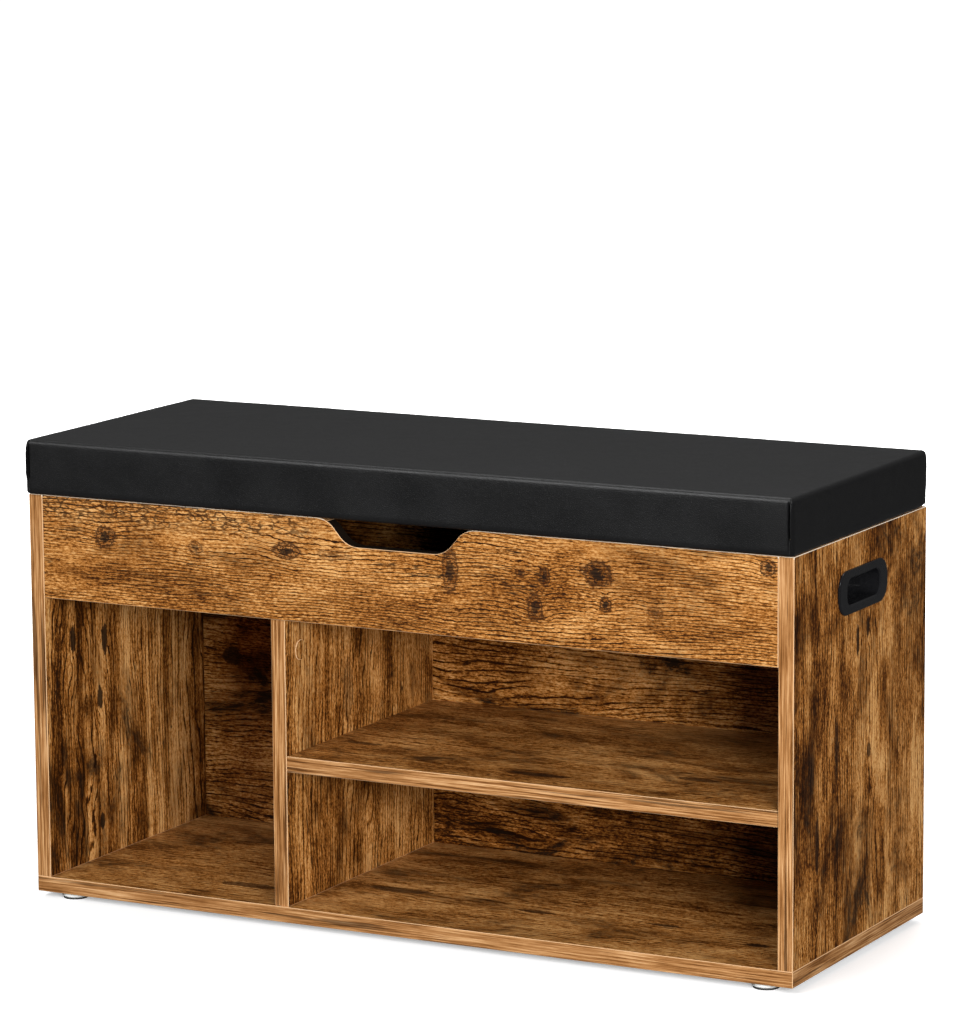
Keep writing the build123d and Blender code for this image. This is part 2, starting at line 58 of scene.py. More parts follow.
# node helpers, shared by all the materials
def newMaterial(name):
    material = bpy.data.materials.new(name)
    material.use_nodes = True
    tree = material.node_tree
    shader = tree.nodes["Principled BSDF"]
    return material, tree, shader


def put(tree, kind, inputs=None, **settings):  # a node, with its inputs linked or set
    new = tree.nodes.new(kind)
    for key, value in settings.items():
        setattr(new, key, value)
    for key, value in (inputs or {}).items():
        plug(tree, new.inputs[key], value)
    return new


def plug(tree, socket, value):
    if isinstance(value, bpy.types.NodeSocket):
        tree.links.new(value, socket)
    else:
        socket.default_value = value


def calc(tree, operation, first, second=0.0, third=0.0, clamp=False):
    return put(tree, "ShaderNodeMath", {0: first, 1: second, 2: third},
               operation=operation, use_clamp=clamp).outputs[0]


def scaled(tree, vector, scale, move=(0, 0, 0)):
    return put(tree, "ShaderNodeMapping", {"Vector": vector, "Scale": scale, "Location": move}).outputs[0]


def grit(tree, vector, scale=1.0, detail=2.0, roughness=0.5, distortion=0.0):
    return put(tree, "ShaderNodeTexNoise", {"Vector": vector, "Scale": scale, "Detail": detail,
                                            "Roughness": roughness, "Distortion": distortion}).outputs["Fac"]


def between(tree, value, low, high, fromValue=0.0, toValue=1.0):  # smooth step, clamped
    return put(tree, "ShaderNodeMapRange", {"Value": value, "From Min": low, "From Max": high,
                                            "To Min": fromValue, "To Max": toValue},
               interpolation_type="SMOOTHSTEP", clamp=True).outputs[0]


def blend(tree, factor, first, second, way="MIX"):
    mixer = put(tree, "ShaderNodeMix", data_type="RGBA", blend_type=way, clamp_factor=True)
    plug(tree, mixer.inputs[0], factor)
    plug(tree, mixer.inputs[6], first)
    plug(tree, mixer.inputs[7], second)
    return mixer.outputs[2]


def ramp(tree, factor, stops):
    node = put(tree, "ShaderNodeValToRGB", {"Fac": factor})
    elements = node.color_ramp.elements
    while len(elements) < len(stops):
        elements.new(0.5)
    for element, (at, colour) in zip(elements, stops):
        element.position = at
        element.color = (*colour, 1)
    return node.outputs["Color"]


def grey(value):
    return (value, value, value, 1)


# printed wood laminate: each board has its own look, so no two carry the same print
axes = {"X": 0, "Y": 1, "Z": 2}
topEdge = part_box("front_panel")[1][2]
faceOn = 0.9                   # a face counts as facing an axis from here up

darkBrown = (0.035, 0.014, 0.005)
# near black: knot hearts, cracks and deep smoke stains, and also painted shade on the finger notch
burntAndShade = (0.009, 0.006, 0.004)
# painted highlight: the eased corners are coloured pale, as if they catch the light
paintedEdgeHighlight = (0.66, 0.42, 0.23)
paintedTopHighlight = (0.94, 0.83, 0.68)  # painted highlight on the eased upper edges of the box

tones = {  # from dark pores to bright fibres
    "print": ((0.018, 0.006, 0.002), (0.115, 0.034, 0.005), (0.28, 0.103, 0.018), (0.46, 0.205, 0.055),
              (0.63, 0.35, 0.13)),
    "band": ((0.07, 0.024, 0.005), (0.18, 0.070, 0.018), (0.32, 0.145, 0.048), (0.47, 0.245, 0.10),
             (0.64, 0.385, 0.19)),
}
toneStops = (0.08, 0.30, 0.50, 0.70, 0.94)

# what a board has unless its own look says otherwise
commonBoard = {"core": 0.95, "ragged": 0.7, "blotch": 1.45, "hair": 1.30, "spread": (0.32, 0.50),
               "shine": 0.09}

# speckle of each pattern in the print, per metre along, across and through the board
speckle = {
    "ragged": (300, 480, 60), "wobble": (80, 120, 40), "drift": (2.6, 9.0, 9.0), "jitter": (16, 90, 60),
    "gaps": (7, 30, 12), "hair": (50, 720, 300), "fuzz": (230, 560, 400), "blotch": (11, 30, 18),
    "broad": (2.4, 8, 6), "stripe": (1.6, 52, 8), "cloud": (7.0, 16, 9), "pore": (75, 480, 400),
    "crack": (6, 70, 40), "crackArea": (9, 16, 9), "crazeArea": (18, 70, 20), "bandHair": (13, 120, 620),
    "bandLine": (5, 25, 210), "crazeCells": (90, 300, 20),
}
fibreMix = {"start": -2.25, "fuzz": 1.90, "broad": 0.85, "stripeMiddle": -0.55, "stripeEdges": (0.36, 0.62)}
growth = {"drift": 4, "jitter": 1.3, "rise": (0.70, 0.84), "fall": (1.0, 0.94)}
knot = {
    "push": 1.3, "pushFalloff": 0.3, "heartEdge": 0.15, "halo": (1.25, 0.95), "rim": 0.92, "rimRagged": 0.6,
    "rimWidth": (0.16, 0.07), "haloTint": (0.46, 0.34, 0.26, 1), "haloShare": 0.60, "ringShare": 0.85,
    "heartShare": 0.9,
}
stain = {
    "from": 0.66, "spread": 0.07, "smokeEdge": 0.11, "deepFrom": 0.09, "deepTo": 0.16,
    "smokeTint": (0.44, 0.40, 0.36, 1), "pores": (0.37, 0.30, 0.0, 0.8), "check": 0.85,
    "checkArea": (0.55, 0.64), "checkWidth": (0.015, 0.003), "craze": 0.85, "crazeWidth": (0.27, 0.17),
    "crazeArea": (0.36, 0.52),
}
band = {"hair": 2.3, "start": -0.86, "blotch": 0.45, "lines": (0.42, 0.36, 0.0, 0.7)}
cornerHighlight = {"depth": 0.002, "share": 0.85}       # painted highlight on the eased corners, near white along the top edges
relief = {"hair": 1.4, "strength": 0.18, "depth": 0.0006}

# knots are (along, across, half length, half width, strength), in metres on the board
boards = {
    "frontPanelWood": {
        "nodes": ("front_panel",), "along": "X", "across": "Z", "through": "Y", "seed": 3.1,
        "lineGap": 0.0032, "lines": 0.66, "wave": 2.6, "bright": 0.24, "smoke": 0.45, "roughness": 0.5,
        "core": 0.60, "ragged": 1.2, "blotch": 1.20, "hair": 1.25, "spread": (0.30, 0.52),
        "knots": ((-0.315, 0.360, 0.011, 0.010, 1.0), (-0.215, 0.358, 0.008, 0.006, 0.7),
                  (-0.115, 0.362, 0.015, 0.007, 1.0), (-0.066, 0.362, 0.018, 0.005, 0.5),
                  (0.057, 0.357, 0.008, 0.020, 0.9), (0.129, 0.361, 0.005, 0.004, 0.8),
                  (0.154, 0.359, 0.005, 0.008, 0.9), (0.144, 0.330, 0.008, 0.013, 0.9),
                  (0.207, 0.366, 0.014, 0.012, 1.0), (0.215, 0.338, 0.006, 0.007, 1.0),
                  (0.264, 0.336, 0.008, 0.005, 0.6), (0.375, 0.385, 0.007, 0.007, 1.0)),
        "crackle": {"bottom": 0.364, "fadeUp": 0.018, "to": -0.06, "fadeAlong": 0.06},
        "notch": {"half": 0.072, "from": 0.36, "slope": 0.35},
    },
    "rightPanelWood": {
        "nodes": ("right_side_panel",), "along": "Z", "across": "Y", "through": "X", "seed": 11.7,
        "lineGap": 0.0052, "lines": 0.42, "wave": 3.0, "bright": -0.19, "smoke": 0.85, "roughness": 0.47,
        "blotch": 2.0, "stripes": 0.12,
        "knots": ((0.297, -0.009, 0.016, 0.003, 1.0), (0.307, 0.014, 0.010, 0.003, 1.0),
                  (0.190, 0.018, 0.007, 0.004, 0.8), (0.205, -0.055, 0.030, 0.004, 0.8),
                  (0.125, -0.098, 0.030, 0.004, 0.8)),
    },
    "leftPanelWood": {
        "nodes": ("left_side_panel",), "along": "Z", "across": "Y", "through": "X", "seed": 23.4,
        "lineGap": 0.0058, "lines": 0.60, "wave": 4.0, "bright": 0.03, "smoke": 0.80, "roughness": 0.47,
        "stripes": 0.42,
        "knots": ((0.246, -0.102, 0.012, 0.005, 1.0), (0.238, -0.046, 0.014, 0.005, 1.0),
                  (0.181, -0.056, 0.011, 0.005, 1.0), (0.057, -0.056, 0.008, 0.004, 1.0)),
    },
    "dividerWood": {
        "nodes": ("divider", "cam_caps"), "along": "Z", "across": "Y", "through": "X", "seed": 31.9,
        "lineGap": 0.0056, "lines": 0.50, "wave": 3.0, "bright": 0.10, "smoke": 0.55, "roughness": 0.47,
        "stripes": 0.25,
        "knots": ((0.207, -0.030, 0.030, 0.009, 0.35),),
    },
    "shelfWood": {
        "nodes": ("shelf", "storage_floor"), "along": "X", "across": "Y", "through": "Z", "seed": 42.2,
        "lineGap": 0.006, "lines": 0.30, "wave": 2.5, "bright": 0.12, "smoke": 0.80, "roughness": 0.36,
        "shine": 0.22,
        "knots": ((-0.083, -0.066, 0.020, 0.004, 0.8), (0.125, -0.112, 0.030, 0.006, 0.8),
                  (0.269, -0.066, 0.022, 0.006, 0.7)),
    },
    "baseWood": {
        "nodes": ("base_board",), "along": "X", "across": "Y", "through": "Z", "seed": 57.6,
        "lineGap": 0.006, "lines": 0.30, "wave": 2.5, "bright": 0.12, "smoke": 0.80, "roughness": 0.36,
        "shine": 0.22,
        "knots": ((-0.057, -0.045, 0.030, 0.008, 0.8), (0.097, -0.060, 0.018, 0.004, 0.7),
                  (0.226, -0.052, 0.016, 0.004, 0.8), (0.334, -0.080, 0.012, 0.005, 0.9),
                  (-0.196, -0.092, 0.030, 0.007, 0.7)),
    },
    "backWood": {
        "nodes": ("back_panel", "rear_rail"), "along": "X", "across": "Z", "through": "Y", "seed": 68.3,
        "lineGap": 0.0058, "lines": 0.45, "wave": 4.0, "bright": 0.02, "smoke": 0.95, "roughness": 0.5,
        "knots": ((-0.069, 0.095, 0.012, 0.013, 1.0), (-0.352, 0.190, 0.010, 0.009, 0.9)),
    },
}


def boardSpace(tree, look):  # places along, across and through a board, and which face is which
    place = put(tree, "ShaderNodeTexCoord")
    part = put(tree, "ShaderNodeSeparateXYZ", {0: place.outputs["Object"]})
    facing = put(tree, "ShaderNodeSeparateXYZ", {0: put(tree, "ShaderNodeNewGeometry").outputs["Normal"]})
    ways = [axes[look[key]] for key in ("along", "across", "through")]
    along, across, through = (part.outputs[way] for way in ways)
    turned = [calc(tree, "ABSOLUTE", facing.outputs[way]) for way in ways]
    onEnd = calc(tree, "GREATER_THAN", turned[0], faceOn)     # the two faces across the grain
    onFace = calc(tree, "GREATER_THAN", turned[2], faceOn)    # the two broad faces
    flat = calc(tree, "MAXIMUM", calc(tree, "MAXIMUM", turned[0], turned[1]), turned[2])
    onCorner = calc(tree, "LESS_THAN", flat, faceOn)          # the eased corners

    # the grain runs along an end's long side too, as its glued band does
    u = put(tree, "ShaderNodeMix", {0: onEnd, 2: along, 3: across}).outputs[0]
    v = put(tree, "ShaderNodeMix", {0: onEnd, 2: across, 3: along}).outputs[0]
    grain = put(tree, "ShaderNodeCombineXYZ", {0: u, 1: v, 2: through}).outputs[0]
    return {"u": u, "v": v, "grain": grain, "height": part.outputs[2], "broadSide": turned[2],
            "onFace": onFace, "onCorner": onCorner}


def knotMarks(tree, fleck, look, space):  # knots push the lines aside and have dark middles
    ragged = calc(tree, "MULTIPLY_ADD", fleck("ragged", (1, 2, 3), 4, 0.7), 2.0, -1.0)
    wobble = calc(tree, "MULTIPLY_ADD", fleck("wobble", (7, 7, look["seed"]), 3), 1.1, 0.45)
    core = look["core"]
    marks = {"push": 0.0, "heart": 0.0, "halo": 0.0, "ring": 0.0}

    def gather(mark, amount):
        marks[mark] = calc(tree, "ADD", marks[mark], amount)

    for knotAlong, knotAcross, halfAlong, halfAcross, strength in look["knots"]:
        du = calc(tree, "MULTIPLY", calc(tree, "SUBTRACT", space["u"], knotAlong), 1 / halfAlong)
        dv = calc(tree, "MULTIPLY", calc(tree, "SUBTRACT", space["v"], knotAcross), 1 / halfAcross)
        reach = calc(tree, "SQRT", calc(tree, "MULTIPLY_ADD", du, du, calc(tree, "MULTIPLY", dv, dv)))
        reach = calc(tree, "MULTIPLY", reach, wobble)
        falloff = calc(tree, "MULTIPLY_ADD", reach, calc(tree, "MULTIPLY", reach, knot["pushFalloff"]), 1.0)
        gather("push", calc(tree, "DIVIDE", strength * knot["push"], falloff))
        rough = calc(tree, "MULTIPLY_ADD", ragged, look["ragged"], reach)
        gather("heart", between(tree, rough, core, core - knot["heartEdge"], 0.0, strength))
        gather("halo", between(tree, reach, *knot["halo"], 0.0, strength))
        rim = calc(tree, "MULTIPLY_ADD", ragged, knot["rimRagged"], calc(tree, "SUBTRACT", reach, knot["rim"]))
        gather("ring", between(tree, calc(tree, "ABSOLUTE", rim), *knot["rimWidth"], 0.0, strength))
    return marks


def growthLines(tree, fleck, look, space, push):  # contours of a slow field
    seed = look["seed"]
    drift = fleck("drift", (seed, seed * 0.7, 0), 3, 0.5, 0.4)
    jitter = fleck("jitter", (seed, 0, seed), 3)
    field = calc(tree, "MULTIPLY_ADD", drift, look["wave"] * growth["drift"], push)
    field = calc(tree, "MULTIPLY_ADD", space["v"], 1 / look["lineGap"], field)
    field = calc(tree, "MULTIPLY_ADD", jitter, growth["jitter"], field)
    tooth = calc(tree, "FRACT", field)
    rising = between(tree, tooth, *growth["rise"])
    line = calc(tree, "MULTIPLY", rising, between(tree, tooth, *growth["fall"]))
    shown = between(tree, fleck("gaps", (seed * 1.3, 4, 0), 3), *look["spread"])
    return calc(tree, "MULTIPLY", line, shown)


def grainTone(tree, fleck, look, patterns):  # fibres, flecks, stripes and lines, dark to bright
    start = look["bright"] + fibreMix["start"]
    value = calc(tree, "MULTIPLY_ADD", patterns["blotch"], look["blotch"], start)
    value = calc(tree, "MULTIPLY_ADD", patterns["hair"], look["hair"], value)
    value = calc(tree, "MULTIPLY_ADD", patterns["fuzz"], fibreMix["fuzz"], value)
    broad = fleck("broad", (look["seed"] * 0.4, look["seed"], 5), 2)
    value = calc(tree, "MULTIPLY_ADD", broad, fibreMix["broad"], value)
    if "stripes" in look:  # wide dark and pale stripes along the grain
        stripe = between(tree, fleck("stripe", (look["seed"], 6, 2), 2, 0.6, 0.2), *fibreMix["stripeEdges"])
        value = calc(tree, "MULTIPLY_ADD", stripe, look["stripes"], value)
        value = calc(tree, "ADD", value, fibreMix["stripeMiddle"] * look["stripes"])
    return calc(tree, "MULTIPLY_ADD", patterns["line"], -look["lines"], value)


def stained(tree, fleck, look, wood, fuzz):  # ragged smoky stains, and pores full of the same dark
    seed = look["seed"]
    cloud = fleck("cloud", (seed * 2, seed, 3), 10, 0.74, 0.6)
    cloud = calc(tree, "MULTIPLY_ADD", fuzz, 0.25, cloud)
    low = stain["from"] - stain["spread"] * look["smoke"]
    smoke = between(tree, cloud, low, low + stain["smokeEdge"], 0.0, look["smoke"])
    deep = between(tree, cloud, low + stain["deepFrom"], low + stain["deepTo"], 0.0, look["smoke"])
    wood = blend(tree, smoke, wood, blend(tree, 1.0, wood, stain["smokeTint"], "MULTIPLY"))
    wood = blend(tree, deep, wood, (*burntAndShade, 1))
    pore = between(tree, fleck("pore", (3, seed, 1), 3, 0.7), *stain["pores"])
    return blend(tree, pore, wood, (*darkBrown, 1))


def grainChecks(tree, fleck, seed):  # thin cracks along the grain, in some places only
    checks = calc(tree, "ABSOLUTE", calc(tree, "SUBTRACT", fleck("crack", (seed, 9, 9), 3), 0.5))
    where = between(tree, fleck("crackArea", (seed, 1, 7), 3), *stain["checkArea"])
    return calc(tree, "MULTIPLY", between(tree, checks, *stain["checkWidth"]), where)


def crazing(tree, fleck, where, space, fuzz):  # old paint, crazed in one band of the front panel
    finely = scaled(tree, space["grain"], speckle["crazeCells"])
    cells = put(tree, "ShaderNodeTexVoronoi", {"Vector": finely, "Scale": 1.0},
                feature="DISTANCE_TO_EDGE").outputs["Distance"]
    craze = between(tree, calc(tree, "MULTIPLY_ADD", fuzz, 0.25, cells), *stain["crazeWidth"])
    above = between(tree, space["v"], where["bottom"], where["bottom"] + where["fadeUp"])
    before = between(tree, space["u"], where["to"], where["to"] - where["fadeAlong"])
    patch = calc(tree, "MULTIPLY", above, before)
    area = between(tree, fleck("crazeArea", (4, 4, 4), 4), *stain["crazeArea"])
    patch = calc(tree, "MULTIPLY", patch, area)
    return calc(tree, "MULTIPLY", calc(tree, "MULTIPLY", craze, patch), stain["craze"])


def knotted(tree, wood, marks):  # the knots' stained halo, dark ring and burnt middle
    def share(mark):
        return calc(tree, "MULTIPLY", calc(tree, "MINIMUM", marks[mark], 1.0), knot[mark + "Share"])

    tinted = blend(tree, 1.0, wood, knot["haloTint"], "MULTIPLY")
    wood = blend(tree, share("halo"), wood, tinted)
    wood = blend(tree, share("ring"), wood, (*darkBrown, 1))
    return blend(tree, share("heart"), wood, (*burntAndShade, 1))


def edgeBand(tree, fleck, seed, blotch):  # the glued band: paler, with crisp dark lines
    hair = fleck("bandHair", (seed, 8, 2), 4, 0.66)
    line = fleck("bandLine", (seed, 3, 6), 3, 0.55)
    value = calc(tree, "MULTIPLY_ADD", hair, band["hair"], band["start"])
    value = calc(tree, "MULTIPLY_ADD", blotch, band["blotch"], value)
    wood = ramp(tree, value, tuple(zip(toneStops, tones["band"])))
    return blend(tree, between(tree, line, *band["lines"]), wood, (*darkBrown, 1))


def paintedNotchShade(tree, notch, space):  # painted shade: the finger notch's cut face is coloured dark, for the shadow under the lid
    cut = calc(tree, "MULTIPLY", calc(tree, "LESS_THAN", calc(tree, "ABSOLUTE", space["u"]), notch["half"]),
               calc(tree, "GREATER_THAN", space["v"], notch["from"]))
    return calc(tree, "MULTIPLY", cut, calc(tree, "LESS_THAN", space["broadSide"], notch["slope"]))


def laminate(name, ownLook):
    look = {**commonBoard, **ownLook}
    seed = look["seed"]
    material, tree, shader = newMaterial(name)
    space = boardSpace(tree, look)

    def fleck(pattern, move, detail, roughness=0.6, distortion=0.0):
        stretched = scaled(tree, space["grain"], speckle[pattern], move)
        return grit(tree, stretched, 1, detail, roughness, distortion)

    marks = knotMarks(tree, fleck, look, space)
    patterns = {
        "line": growthLines(tree, fleck, look, space, marks["push"]),
        "hair": fleck("hair", (seed, 2, 1), 3, 0.62),
        "fuzz": fleck("fuzz", (0, seed, 0), 3, 0.75),
        "blotch": fleck("blotch", (seed * 0.9, seed, 0), 8, 0.72, 0.5),
    }
    value = grainTone(tree, fleck, look, patterns)
    wood = ramp(tree, value, tuple(zip(toneStops, tones["print"])))
    wood = stained(tree, fleck, look, wood, patterns["fuzz"])
    check = grainChecks(tree, fleck, seed)
    wood = blend(tree, calc(tree, "MULTIPLY", check, stain["check"]), wood, (*burntAndShade, 1))
    if "crackle" in look:
        crazed = crazing(tree, fleck, look["crackle"], space, patterns["fuzz"])
        wood = blend(tree, crazed, wood, (*darkBrown, 1))
    wood = knotted(tree, wood, marks)

    colour = blend(tree, space["onFace"], edgeBand(tree, fleck, seed, patterns["blotch"]), wood)
    # painted highlight: the eased corners take a pale colour, near white along the top edges
    onTop = calc(tree, "GREATER_THAN", space["height"], topEdge - cornerHighlight["depth"])
    eased = blend(tree, onTop, (*paintedEdgeHighlight, 1), (*paintedTopHighlight, 1))
    colour = blend(tree, calc(tree, "MULTIPLY", space["onCorner"], cornerHighlight["share"]), colour, eased)
    if "notch" in look:
        # painted shade on the finger notch's cut face
        colour = blend(tree, paintedNotchShade(tree, look["notch"], space), colour, (*burntAndShade, 1))
    tree.links.new(colour, shader.inputs["Base Color"])

    dull, bright = look["roughness"] + 0.10, look["roughness"] - 0.04   # pores are duller than fibres
    tree.links.new(between(tree, value, 0.2, 0.8, dull, bright), shader.inputs["Roughness"])
    shader.inputs["Specular IOR Level"].default_value = look["shine"]
    sunk = calc(tree, "ADD", check, calc(tree, "MINIMUM", marks["heart"], 1.0))
    height = calc(tree, "SUBTRACT", calc(tree, "MULTIPLY", patterns["hair"], relief["hair"]), sunk)
    bump = put(tree, "ShaderNodeBump", {"Height": height, "Strength": relief["strength"],
                                        "Distance": relief["depth"]})
    tree.links.new(bump.outputs[0], shader.inputs["Normal"])
    return material


def dress(nodeName, material):  # a CAD node keeps its shape and takes this finish
    piece = nodes[nodeName]
    if piece.material_slots:
        for own in piece.material_slots:
            own.material = material
    else:
        piece.data.materials.append(material)


for name, look in boards.items():
    wood = laminate(name, look)
    for nodeName in look["nodes"]:
        dress(nodeName, wood)
print("boards finished")


# plainer finishes, for the CAD nodes that need no print
finishes = {
    "handlePlastic": {"nodes": ("left_handle_cup", "right_handle_cup"), "dark": (0.004, 0.004, 0.0045),
                      "light": (0.009, 0.009, 0.010), "roughness": (0.16, 0.30), "scale": 900, "bump": 0.03},
    "footPlastic": {"nodes": ("foot_bodies",), "dark": (0.70, 0.70, 0.68), "light": (0.82, 0.82, 0.80),
                    "roughness": (0.40, 0.52), "scale": 700, "bump": 0.03},
    "footFelt": {"nodes": ("foot_pads",), "dark": (0.010, 0.010, 0.009), "light": (0.05, 0.048, 0.045),
                 "roughness": (0.90, 1.0), "scale": 2200, "bump": 0.6},
    "bumperRubber": {"nodes": ("lid_bumpers",), "dark": (0.015, 0.012, 0.010), "light": (0.035, 0.028, 0.022),
                     "roughness": (0.45, 0.55), "scale": 600, "bump": 0.05},
    "hingeSteel": {"nodes": ("left_hinge_fixed_leaf", "right_hinge_fixed_leaf", "left_hinge_moving_leaf",
                             "right_hinge_moving_leaf", "left_hinge_pin", "right_hinge_pin"),
                   "dark": (0.33, 0.33, 0.33), "light": (0.50, 0.50, 0.49), "roughness": (0.26, 0.42),
                   "scale": 900, "bump": 0.06, "metal": True},
    "zincSteel": {"nodes": ("cam_bolts", "base_screws", "foot_nails", "rail_hinge_screws", "lid_hinge_screws",
                            "staples"),
                  "dark": (0.42, 0.42, 0.39), "light": (0.62, 0.61, 0.56), "roughness": (0.24, 0.40),
                  "scale": 1200, "bump": 0.05, "metal": True},
    "castZinc": {"nodes": ("cam_locks",), "dark": (0.25, 0.25, 0.26), "light": (0.42, 0.42, 0.43),
                 "roughness": (0.45, 0.60), "scale": 1000, "bump": 0.2, "metal": True},
    "beech": {"nodes": ("dowels",), "dark": (0.40, 0.24, 0.11), "light": (0.60, 0.41, 0.22),
              "roughness": (0.6, 0.75), "scale": 300, "bump": 0.2},
    "rawBoard": {"nodes": ("lid_board",), "dark": (0.26, 0.17, 0.09), "light": (0.48, 0.35, 0.21),
                 "roughness": (0.7, 0.85), "scale": 420, "bump": 0.25},
    "creamFoam": {"nodes": ("lid_foam",), "dark": (0.55, 0.50, 0.36), "light": (0.74, 0.70, 0.54),
                  "roughness": (0.85, 0.95), "scale": 1500, "bump": 0.5},
}


def moulded(name, look):
    material, tree, shader = newMaterial(name)
    place = put(tree, "ShaderNodeTexCoord").outputs["Object"]
    speck = grit(tree, place, look["scale"], 3, 0.6)
    slow = grit(tree, place, look["scale"] * 0.04, 2)
    value = calc(tree, "ADD", calc(tree, "MULTIPLY", speck, 0.6), calc(tree, "MULTIPLY", slow, 0.4))
    colour = ramp(tree, value, ((0.38, look["dark"]), (0.62, look["light"])))
    tree.links.new(colour, shader.inputs["Base Color"])
    smooth, rough = look["roughness"]
    tree.links.new(between(tree, slow, 0.35, 0.65, smooth, rough), shader.inputs["Roughness"])
    shader.inputs["Metallic"].default_value = 1.0 if look.get("metal") else 0.0
    bump = put(tree, "ShaderNodeBump", {"Height": speck, "Strength": look["bump"], "Distance": 0.0003})
    tree.links.new(bump.outputs[0], shader.inputs["Normal"])
    return material


for name, look in finishes.items():
    finish = moulded(name, look)
    for nodeName in look["nodes"]:
        dress(nodeName, finish)
creamFoam = bpy.data.materials["creamFoam"]


# the lid's synthetic leather
leather = {"dark": (0.0030, 0.0030, 0.0032), "light": (0.0065, 0.0065, 0.0068), "grain": 620,
           "roughness": (0.37, 0.47), "bump": 0.35, "gloss": 0.5, "bend": 0.0012, "bendAcross": -0.001,
           "patches": 14, "softness": 42}


def leatherFinish(name, look):
    material, tree, shader = newMaterial(name)
    place = put(tree, "ShaderNodeTexCoord").outputs["Object"]
    warp = grit(tree, place, look["grain"] * 0.35, 2)
    bend = put(tree, "ShaderNodeCombineXYZ", {0: calc(tree, "MULTIPLY", warp, look["bend"]),
                                              1: calc(tree, "MULTIPLY", warp, look["bendAcross"]), 2: 0.0})
    bent = put(tree, "ShaderNodeVectorMath", {0: place, 1: bend.outputs[0]}, operation="ADD").outputs[0]
    cells = put(tree, "ShaderNodeTexVoronoi", {"Vector": bent, "Scale": look["grain"]},
                feature="DISTANCE_TO_EDGE").outputs["Distance"]
    pebble = between(tree, cells, 0.0, 0.28)
    patchy = grit(tree, place, look["patches"], 4, 0.6)
    tone = calc(tree, "ADD", calc(tree, "MULTIPLY", pebble, 0.5), calc(tree, "MULTIPLY", patchy, 0.5))
    colour = ramp(tree, tone, ((0.25, look["dark"]), (0.75, look["light"])))
    tree.links.new(colour, shader.inputs["Base Color"])
    smooth, rough = look["roughness"]
    dullness = between(tree, patchy, 0.3, 0.7, smooth, rough)
    dullness = calc(tree, "ADD", dullness, calc(tree, "MULTIPLY", pebble, -0.04))
    tree.links.new(dullness, shader.inputs["Roughness"])
    shader.inputs["Specular IOR Level"].default_value = look["gloss"]
    soft = grit(tree, place, look["softness"], 3)
    height = calc(tree, "ADD", calc(tree, "MULTIPLY", pebble, 0.5), calc(tree, "MULTIPLY", soft, 0.6))
    bump = put(tree, "ShaderNodeBump", {"Height": height, "Strength": look["bump"], "Distance": 0.0004})
    tree.links.new(bump.outputs[0], shader.inputs["Normal"])
    return material


dustCloth = {"dark": (0.010, 0.010, 0.011), "light": (0.045, 0.045, 0.048), "fibres": 1500, "welds": 420,
             "roughness": 0.92, "bump": 0.5}


def feltedCloth(name, look):  # the dust cover's pressed fibres, with its dimpled welds
    material, tree, shader = newMaterial(name)
    place = put(tree, "ShaderNodeTexCoord").outputs["Object"]
    fibres = grit(tree, place, look["fibres"], 4, 0.7, 1.5)
    dots = put(tree, "ShaderNodeTexVoronoi", {"Vector": place, "Scale": look["welds"], "Randomness": 0.25})
    dimple = between(tree, dots.outputs["Distance"], 0.18, 0.32)
    tone = calc(tree, "MULTIPLY", fibres, dimple)
    colour = ramp(tree, tone, ((0.1, look["dark"]), (0.6, look["light"])))
    tree.links.new(colour, shader.inputs["Base Color"])
    shader.inputs["Roughness"].default_value = look["roughness"]
    height = calc(tree, "ADD", dimple, calc(tree, "MULTIPLY", fibres, 0.5))
    bump = put(tree, "ShaderNodeBump", {"Height": height, "Strength": look["bump"], "Distance": 0.0003})
    tree.links.new(bump.outputs[0], shader.inputs["Normal"])
    return material


leatherSkin = leatherFinish("blackLeather", leather)
dress("lid_dust_cover", feltedCloth("dustCloth", dustCloth))
print("finishes done")


# the padded lid: its skin and the foam inside, in metres
cushion = {
    "inset": 0.0, "cornerRound": 0.0045, "topRound": 0.012, "underRound": 0.0022, "grid": 0.0065,
    "drop": 0.0024, "rimWidth": 0.0022, "rearRoom": 0.008,                     # the rolled rim under it
    "pressure": 4.0, "frames": 20, "topSwell": 0.0035, "sideSwell": 0.0012, "capBand": 0.02,
    "hold": 0.004, "sink": 0.1,                                                # held hem, firm foam
    "creaseFrom": 0.0036, "creaseWidth": 0.0009, "creaseDepth": 0.0050, "creaseTop": 0.0035,
    "creaseReach": 0.008, "lipFrom": 0.0020, "lipWidth": 0.0010, "lipRise": 0.0028,
    "fine": 0.0005, "fineCuts": 20, "boardTop": 0.0159, "wrinkle": 0.00028, "smoothTurns": 2,
    "smoothFrom": 0.012,
}
foam = {"inset": 0.0038, "cornerRound": 0.008, "topRound": 0.011, "underRound": 0.002, "grid": 0.04}


def edgesWhere(mesh, test):
    return [edge for edge in mesh.edges if test(*(vert.co for vert in edge.verts))]


def cutAcross(shape, axis, places):  # new edge loops where planes cross the shape
    for at in places:
        point = Vector((0, 0, 0))
        point[axis] = at
        normal = Vector((0, 0, 0))
        normal[axis] = 1
        everything = shape.verts[:] + shape.edges[:] + shape.faces[:]
        bmesh.ops.bisect_plane(shape, geom=everything, dist=1e-5, plane_co=point, plane_no=normal)


